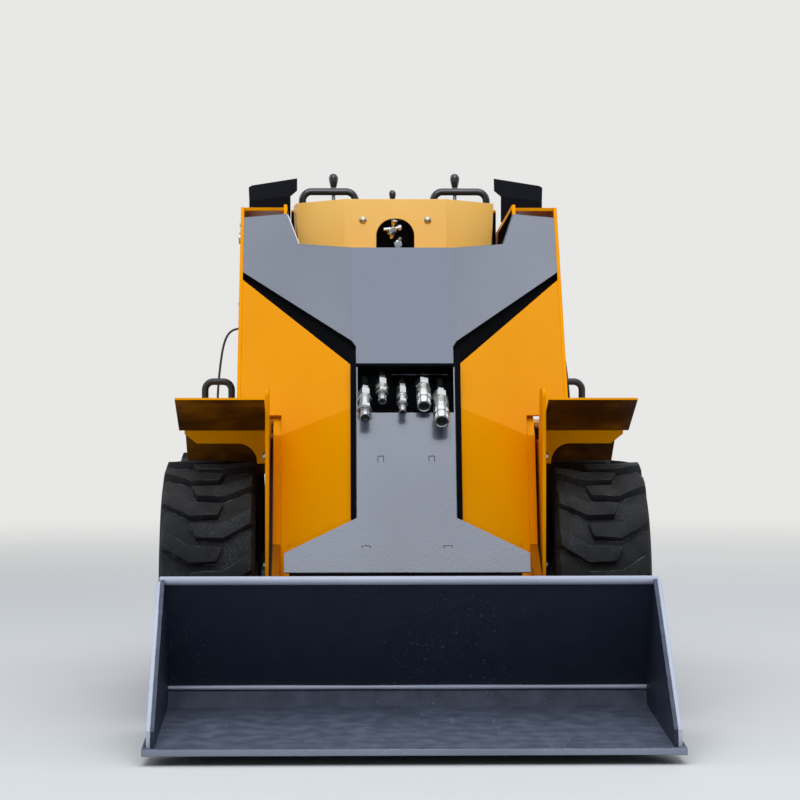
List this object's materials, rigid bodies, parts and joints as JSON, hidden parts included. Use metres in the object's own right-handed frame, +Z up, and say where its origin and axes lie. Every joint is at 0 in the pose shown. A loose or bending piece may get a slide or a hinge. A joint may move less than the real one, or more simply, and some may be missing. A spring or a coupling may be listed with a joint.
{
  "type": "stand-on skid steer loader",
  "caption": "Compact wheeled stand-on loader: a sculpted lift arm that wraps the front, pushing bucket, fenders, console and rear platform.",
  "frame": {"origin": "on the ground, at the middle of the bounding box", "axes": "+X to the right seen from the front, -Y forwards over the bucket, +Z up"},
  "size_m": [1.112, 2.45, 1.31],
  "materials": {
    "machine_paint": "gloss",
    "dark_paint": "semi-gloss",
    "frame_paint": "satin",
    "edge_steel": "worn",
    "engine_iron": "matte",
    "zinc_steel": "bright zinc",
    "chrome_rod": "polished",
    "grip_rubber": "matte",
    "knob_plastic": "gloss",
    "cable_sheath": "satin",
    "tyre_rubber": "matte"
  },
  "bodies": {
    "chassis": {"chassis_side_left": "machine_paint", "chassis_side_right": "machine_paint", "belly_pan": "frame_paint", "deck": "frame_paint", "rear_crossbeam": "frame_paint", "drive_hubs": "frame_paint", "fender_left": "machine_paint", "fender_right": "machine_paint", "hood": "machine_paint", "engine_block": "engine_iron", "tower_left": "machine_paint", "tower_right": "machine_paint", "tower_pins": "zinc_steel", "rear_panel": "machine_paint", "operator_pad": "grip_rubber", "console_front": "machine_paint", "console_housing": "frame_paint", "hand_grips": "grip_rubber", "levers": "knob_plastic", "platform_brackets": "frame_paint", "platform": "frame_paint", "rear_hoops": "frame_paint", "side_cable_left": "cable_sheath", "side_cable_right": "cable_sheath", "cable_glands": "zinc_steel"},
    "lift_arm": {"arm_beam_left": "machine_paint", "arm_beam_right": "machine_paint", "arm_shoulder_left": "machine_paint", "arm_shoulder_right": "machine_paint", "arm_front_plate": "dark_paint", "arm_web": "frame_paint", "arm_ribs": "frame_paint", "arm_lower_plate": "dark_paint", "coupler_nest": "frame_paint", "couplers": "zinc_steel", "arm_leg_left": "machine_paint", "arm_leg_right": "machine_paint", "arm_cross_tube": "frame_paint", "arm_pins": "zinc_steel", "arm_guards": "dark_paint"},
    "bucket": {"bucket_shell": "dark_paint", "bucket_sides": "dark_paint", "cutting_edge": "edge_steel", "attach_plate": "dark_paint", "attach_pins": "zinc_steel"},
    "lift_barrel_left": {"lift_barrel_left": "dark_paint"},
    "lift_barrel_right": {"lift_barrel_right": "dark_paint"},
    "lift_rod_left": {"lift_rod_left": "chrome_rod"},
    "lift_rod_right": {"lift_rod_right": "chrome_rod"},
    "tilt_barrel": {"tilt_barrel": "dark_paint"},
    "tilt_rod": {"tilt_rod": "chrome_rod"},
    "wheel_front_left": {"tyre_front_left": "tyre_rubber", "rim_front_left": "machine_paint"},
    "wheel_front_right": {"tyre_front_right": "tyre_rubber", "rim_front_right": "machine_paint"},
    "wheel_rear_left": {"tyre_rear_left": "tyre_rubber", "rim_rear_left": "machine_paint"},
    "wheel_rear_right": {"tyre_rear_right": "tyre_rubber", "rim_rear_right": "machine_paint"}
  },
  "joints": [
    {"name": "lift", "type": "hinge", "parent": "chassis", "child": "lift_arm", "pos_m": [0, 0.775, 1.08], "axis": [-1, 0, 0], "range_deg": [0, 60]},
    {"name": "bucket_tilt", "type": "hinge", "parent": "lift_arm", "child": "bucket", "pos_m": [0, -0.625, 0.15], "axis": [-1, 0, 0], "range_deg": [-95, 20]},
    {"name": "lift_barrel_swing_left", "type": "hinge", "parent": "chassis", "child": "lift_barrel_left", "pos_m": [-0.331, 0.765, 0.78], "axis": [-1, 0, 0], "range_deg": [0, 43.3]},
    {"name": "lift_rod_slide_left", "type": "slide", "parent": "lift_barrel_left", "child": "lift_rod_left", "axis": [0, -0.8664, 0.4993], "range_m": [0, 0.197]},
    {"name": "lift_barrel_swing_right", "type": "hinge", "parent": "chassis", "child": "lift_barrel_right", "pos_m": [0.331, 0.765, 0.78], "axis": [-1, 0, 0], "range_deg": [0, 43.3]},
    {"name": "lift_rod_slide_right", "type": "slide", "parent": "lift_barrel_right", "child": "lift_rod_right", "axis": [0, -0.8664, 0.4993], "range_m": [0, 0.197]},
    {"name": "tilt_barrel_swing", "type": "hinge", "parent": "lift_arm", "child": "tilt_barrel", "pos_m": [0, -0.105, 0.9], "axis": [-1, 0, 0], "range_deg": [-0.3, 1.2]},
    {"name": "tilt_rod_slide", "type": "slide", "parent": "tilt_barrel", "child": "tilt_rod", "axis": [0, -0.6487, -0.761], "range_m": [-0.042, 0.2]},
    {"name": "wheel_turn_front_left", "type": "hinge", "parent": "chassis", "child": "wheel_front_left", "pos_m": [-0.447, -0.305, 0.292], "axis": [1, 0, 0], "continuous": true},
    {"name": "wheel_turn_front_right", "type": "hinge", "parent": "chassis", "child": "wheel_front_right", "pos_m": [0.447, -0.305, 0.292], "axis": [1, 0, 0], "continuous": true},
    {"name": "wheel_turn_rear_left", "type": "hinge", "parent": "chassis", "child": "wheel_rear_left", "pos_m": [-0.447, 0.395, 0.292], "axis": [1, 0, 0], "continuous": true},
    {"name": "wheel_turn_rear_right", "type": "hinge", "parent": "chassis", "child": "wheel_rear_right", "pos_m": [0.447, 0.395, 0.292], "axis": [1, 0, 0], "continuous": true}
  ],
  "couplings": [
    {"joint": "lift_barrel_swing_left", "follows": "lift", "ratio": 0.7188},
    {"joint": "lift_rod_slide_left", "follows": "lift", "m_per_rad": 0.1878},
    {"joint": "lift_barrel_swing_right", "follows": "lift", "ratio": 0.7188},
    {"joint": "lift_rod_slide_right", "follows": "lift", "m_per_rad": 0.1878},
    {"joint": "tilt_barrel_swing", "follows": "bucket_tilt", "ratio": -0.012},
    {"joint": "tilt_rod_slide", "follows": "bucket_tilt", "m_per_rad": -0.12}
  ]
}
